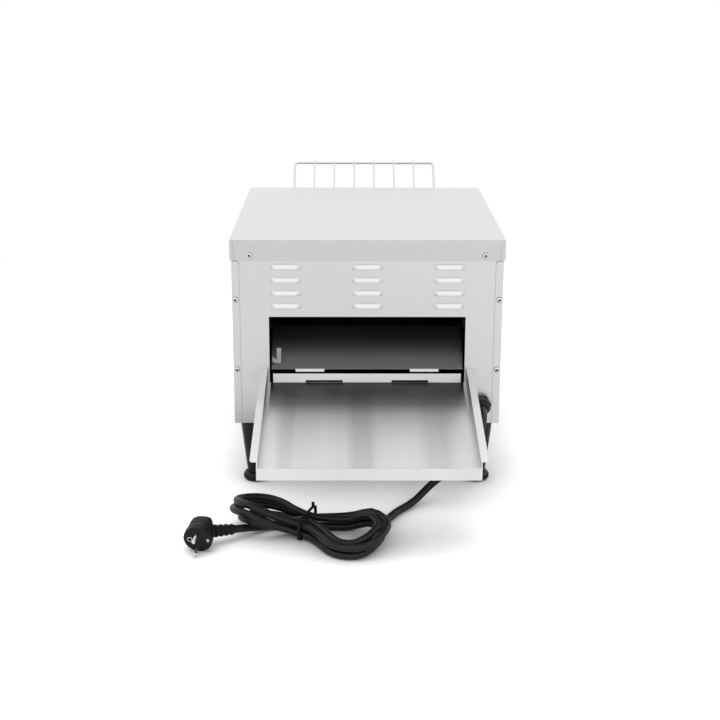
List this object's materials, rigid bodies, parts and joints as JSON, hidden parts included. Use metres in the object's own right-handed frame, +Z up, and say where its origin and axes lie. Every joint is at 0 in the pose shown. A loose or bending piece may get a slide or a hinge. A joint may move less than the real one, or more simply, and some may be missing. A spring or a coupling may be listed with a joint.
{
  "type": "conveyor toaster",
  "caption": "Countertop conveyor toaster on tapered legs, with a louvred casing, wire feed rack, rear discharge tray, crumb tray, chain-driven wire belt and mains cord.",
  "frame": {"origin": "on the table under the middle of the machine (feed rack to rear tray), mains cord left out", "axes": "+Z up, +Y toward the rear where the toast comes out, +X to the right seen from the front"},
  "size_m": [0.4168, 0.7585, 0.3846],
  "materials": {
    "brushed_steel_sheet": "satin",
    "polished_steel_sheet": "bright, reflective",
    "plain_steel_sheet": "mill finish",
    "bright_wire": "chromed",
    "belt_wire": "heat stained",
    "shaft_steel": "ground",
    "cast_sprocket": "oiled",
    "chain_steel": "oiled",
    "bush_brass": "turned",
    "motor_paint": "satin",
    "heater_sheath": "heat darkened",
    "white_ceramic": "matte",
    "knob_plastic": "satin",
    "switch_plastic": "matte",
    "green_lens": "translucent",
    "amber_lens": "translucent",
    "fan_plastic": "matte",
    "leg_plastic": "moulded",
    "foot_rubber": "matte",
    "fastener_steel": "zinc plated",
    "gland_plastic": "moulded",
    "cord_rubber": "smooth",
    "tie_plastic": "smooth",
    "plug_rubber": "moulded",
    "pin_nickel": "nickel plated"
  },
  "bodies": {
    "root": {"top_cover": "brushed_steel_sheet", "left_side_panel": "brushed_steel_sheet", "right_side_panel": "brushed_steel_sheet", "rear_panel": "brushed_steel_sheet", "front_panel": "brushed_steel_sheet", "toast_chute": "polished_steel_sheet", "chute_clip": "polished_steel_sheet", "base_plate": "plain_steel_sheet", "left_inner_wall": "plain_steel_sheet", "right_inner_wall": "plain_steel_sheet", "tunnel_floor": "plain_steel_sheet", "upper_reflector": "plain_steel_sheet", "lower_reflector": "plain_steel_sheet", "conveyor_belt": "belt_wire", "drive_chain": "chain_steel", "shaft_bushes": "bush_brass", "gear_motor": "motor_paint", "upper_heating_elements": "heater_sheath", "lower_heating_elements": "heater_sheath", "element_insulators": "white_ceramic", "terminal_block": "white_ceramic", "speed_control": "switch_plastic", "mode_switch": "switch_plastic", "safety_thermostat": "switch_plastic", "power_lamp": "green_lens", "heating_lamp": "amber_lens", "cooling_fan_frame": "fan_plastic", "left_rear_leg": "leg_plastic", "right_rear_leg": "leg_plastic", "left_front_leg": "leg_plastic", "right_front_leg": "leg_plastic", "foot_discs": "foot_rubber", "leg_nuts": "fastener_steel", "casing_screws": "fastener_steel", "cable_gland": "gland_plastic", "gland_nut": "gland_plastic", "mains_cord_lead": "cord_rubber", "mains_cord_hank": "cord_rubber", "mains_cord_tail": "cord_rubber", "cord_tie": "tie_plastic", "plug_strain_relief": "plug_rubber", "plug_body": "plug_rubber", "plug_pins": "pin_nickel"},
    "rear_tray": {"rear_tray": "polished_steel_sheet"},
    "crumb_tray": {"crumb_tray": "plain_steel_sheet", "crumb_tray_pull": "plain_steel_sheet"},
    "feed_rack": {"feed_rack_frame": "bright_wire", "feed_rack_wires": "bright_wire"},
    "drive_shaft": {"drive_shaft": "shaft_steel", "drive_sprockets": "cast_sprocket", "driven_chain_sprocket": "cast_sprocket"},
    "idler_shaft": {"idler_shaft": "shaft_steel", "idler_sprockets": "cast_sprocket"},
    "motor_shaft": {"motor_shaft": "shaft_steel", "motor_sprocket": "cast_sprocket"},
    "fan_rotor": {"cooling_fan_rotor": "fan_plastic"},
    "speed_knob": {"speed_knob": "knob_plastic", "speed_spindle": "shaft_steel"},
    "mode_knob": {"mode_knob": "knob_plastic", "mode_spindle": "shaft_steel"}
  },
  "joints": [
    {"name": "rear_tray_lift", "type": "slide", "parent": "root", "child": "rear_tray", "axis": [0, 0, 1], "range_m": [0, 0.013]},
    {"name": "crumb_tray_slide", "type": "slide", "parent": "root", "child": "crumb_tray", "axis": [0, -1, 0], "range_m": [0, 0.3]},
    {"name": "feed_rack_lift", "type": "slide", "parent": "root", "child": "feed_rack", "axis": [0, 0, 1], "range_m": [0, 0.012]},
    {"name": "drive_shaft_spin", "type": "hinge", "parent": "root", "child": "drive_shaft", "pos_m": [0, 0.04805, 0.252], "axis": [1, 0, 0], "continuous": true},
    {"name": "idler_shaft_spin", "type": "hinge", "parent": "root", "child": "idler_shaft", "pos_m": [0, -0.23795, 0.252], "axis": [1, 0, 0], "continuous": true},
    {"name": "motor_shaft_spin", "type": "hinge", "parent": "root", "child": "motor_shaft", "pos_m": [0, -0.05595, 0.15], "axis": [1, 0, 0], "continuous": true},
    {"name": "fan_spin", "type": "hinge", "parent": "root", "child": "fan_rotor", "pos_m": [-0.07, -0.14595, 0.1], "axis": [0, 0, 1], "continuous": true},
    {"name": "speed_knob_turn", "type": "hinge", "parent": "root", "child": "speed_knob", "pos_m": [0.062, -0.29095, 0.15], "axis": [0, 1, 0], "range_deg": [0, 270]},
    {"name": "mode_knob_turn", "type": "hinge", "parent": "root", "child": "mode_knob", "pos_m": [-0.062, -0.29095, 0.15], "axis": [0, 1, 0], "range_deg": [0, 270]}
  ],
  "couplings": [
    {"joint": "idler_shaft_spin", "follows": "drive_shaft_spin", "ratio": 1},
    {"joint": "motor_shaft_spin", "follows": "drive_shaft_spin", "ratio": 2}
  ]
}
